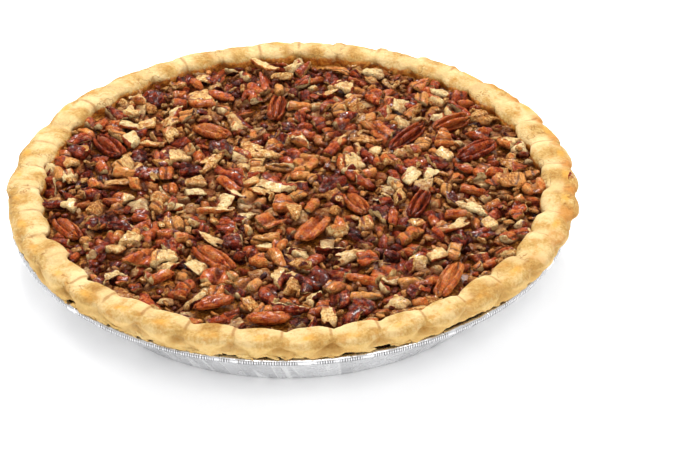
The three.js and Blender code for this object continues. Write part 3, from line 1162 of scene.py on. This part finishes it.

# %% [markdown]
# ### Foil
# Pressed foil is bright, half-rough metal. The press left fine drawn lines that lean round the
# wall, and soft creases, and its shine breaks up in them. Painted highlights run along the seams
# between the broad facets, some facets are painted darker as shade, and the rolled rim is painted
# darker as its shade under the pastry. The pleats in the rim are painted nearly black.

# %% Foil finish


def foil_look(here):
    x, y, z = here.parts()
    radius, height = radius_of(x, y), z / MM
    angle = here.math("ARCTAN2", y, x)
    # lines that lean round the wall
    lean = here.node("CombineXYZ", {}, {
        0: here.math("COSINE", angle + z * 1.5) * 0.12,
        1: here.math("SINE", angle + z * 1.5) * 0.12,
        2: z * 0.12})
    drawn = lean.noise(0.0024, rough=0.6)
    facets = lean.noise(0.012, detail=1)
    seam_highlights = abs(facets - 0.5).step(0.02, 0.0)
    crinkle = here.noise(0.011)
    # fine pleats pressed into the rolled rim, in uneven groups
    pleats = here.math("SINE", angle * 760 + drawn * 6).step(-0.1, 0.5)
    grouped = lean.noise(0.006, detail=1).step(0.36, 0.42)
    bead = radius.step(123.4, 124.0) * height.step(26.0, 26.6)
    on_bead = radius.step(125.2, 126.0) * height.step(28.9, 28.5) * height.step(26.9, 27.3)
    pleats = pleats * grouped * on_bead
    tone = crinkle.ramp((0.3, (0.75, 0.75, 0.76)), (0.7, (0.88, 0.88, 0.89)))
    # painted shade: some of the broad facets are darker
    plain = facets.step(0.47, 0.53) * 0.4
    tone = plain.mix(tone, (0.7, 0.7, 0.71), "MULTIPLY")
    # painted highlights along the seams between the facets
    tone = seam_highlights.mix(tone, (0.97, 0.97, 0.97))
    # painted shade on the rolled rim, under the edge of the pastry
    tone = (bead * 0.8).mix(tone, (0.6, 0.6, 0.61))
    # the pleats are painted nearly black
    tone = (pleats * 0.8).mix(tone, (0.08, 0.08, 0.09))
    return {
        "Base Color": tone,
        "Roughness": 0.24 + here.noise(0.003).step(0.3, 0.8) * 0.14,
        "Bumps": [
            (facets, 0.0040), (seam_highlights, 0.0002), (drawn, 0.0003), (crinkle, 0.0004), (pleats, 0.0002)],
    }


finish("pressed foil", (tin,), {"Metallic": 1.0}, foil_look)

# %% [markdown]
# ## Table, light and camera
# The pie stands on a plain white table under a pale sky. The key lamp hangs over the far side
# and gives the nuts their shine. A small lamp further back adds sparks of light to the syrup, a
# weak one stands at the left, and a broad one in front fills the shadows. The table has a faint
# glow of its own, which keeps the pie's shadow pale.

# %% Table
table = add("table", bpy.ops.mesh.primitive_plane_add, size=14, location=(0, 3, 0))
bpy.ops.object.transform_apply(location=True, rotation=True, scale=True)


def table_look(here):
    tone = here.noise(0.4, detail=1)
    return {"Base Color": tone.ramp((0.3, (0.94, 0.94, 0.94)), (0.7, (0.96, 0.96, 0.96)))}


finish("white table", (table,), {
    "Roughness": 0.7, "Specular IOR Level": 0.2,
    "Emission Strength": 0.05, "Emission Color": (1, 1, 1, 1)}, table_look)
table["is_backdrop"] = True

# %% Light


def lamp(name, position, size, power):
    """A square soft lamp, in metres and watts, that points at the pie."""
    rest()
    bpy.ops.object.light_add(type="AREA", location=position)
    light = bpy.context.object
    light.name = name
    light.data.size = size
    light.data.energy = power
    light.rotation_euler = (-Vector(position)).to_track_quat("-Z", "Y").to_euler()


lamp("key_lamp", (-0.05, 0.6, 1.6), 0.7, 24)
lamp("spark_lamp", (0.2, 1.45, 1.3), 0.12, 8)
lamp("side_lamp", (-0.9, 0.5, 1.2), 0.3, 2.0)
lamp("front_lamp", (0.3, -1.3, 1.6), 0.9, 11.5)
sky = bpy.data.worlds.new("pale_room")
bpy.context.scene.world = sky
sky.use_nodes = True
background = sky.node_tree.nodes["Background"].inputs
background["Color"].default_value = (1, 1, 1, 1)
background["Strength"].default_value = 0.9
bpy.context.scene.view_settings.view_transform = "Standard"

# %% [markdown]
# The camera stands in front, a little over a metre away, and looks down at 34 degrees. It aims
# beside the pie, which leaves free table to the right.

# %% Camera
DISTANCE = 1.110
DOWN = math.radians(33.9)
AIM = Vector((0.0261, 0.0029, 0.0042))
LENS = 124.3  # a long lens, in millimetres, on a sensor 36 mm wide
LEAN = math.radians(-0.56)
bpy.ops.object.camera_add(location=AIM + DISTANCE * Vector((0, -math.cos(DOWN), math.sin(DOWN))))
camera = bpy.context.object
camera.name = "camera"
camera.data.lens = LENS
camera.data.sensor_width = 36
camera.data.clip_end = 50
camera.rotation_euler = (TURN / 4 - DOWN, 0, 0)
camera.rotation_euler = (camera.rotation_euler.to_matrix()
                         @ Matrix.Rotation(LEAN, 3, "Z")).to_euler()
bpy.context.scene.camera = camera

# %% Sizes, and done
low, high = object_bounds()
